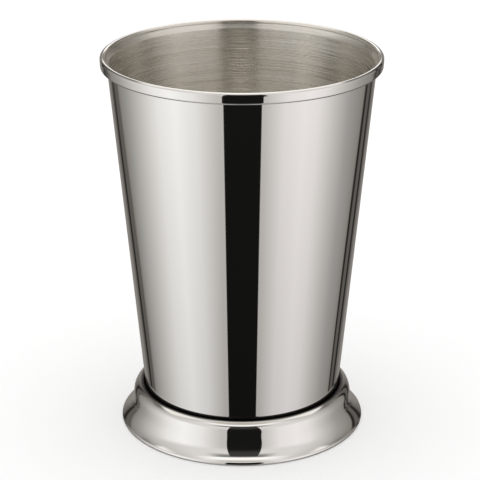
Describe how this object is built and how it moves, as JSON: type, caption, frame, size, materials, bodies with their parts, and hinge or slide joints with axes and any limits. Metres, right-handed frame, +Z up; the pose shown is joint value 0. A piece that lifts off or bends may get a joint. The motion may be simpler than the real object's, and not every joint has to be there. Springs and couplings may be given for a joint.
{
  "type": "julep cup",
  "caption": "Tapered polished stainless julep cup with a plain solid band round the mouth, a full-round lip and a flared, hollow pressed foot.",
  "frame": {"origin": "centre of the ring that the cup stands on, in the plane of the table", "axes": "+Z up along the cup's axis; X and Y are free, because the cup is round, and -Y is the side that the picture shows"},
  "size_m": [0.081, 0.081, 0.1127],
  "materials": {
    "shell_stainless": "mirror-polished outside, satin inside with fine brushing round the axis",
    "polished_stainless": "mirror-polished",
    "weld_metal": "as-welded, dull"
  },
  "bodies": {
    "root": {"cup_shell": "shell_stainless", "rim_band": "polished_stainless", "foot": "polished_stainless", "foot_welds": "weld_metal"}
  },
  "joints": []
}
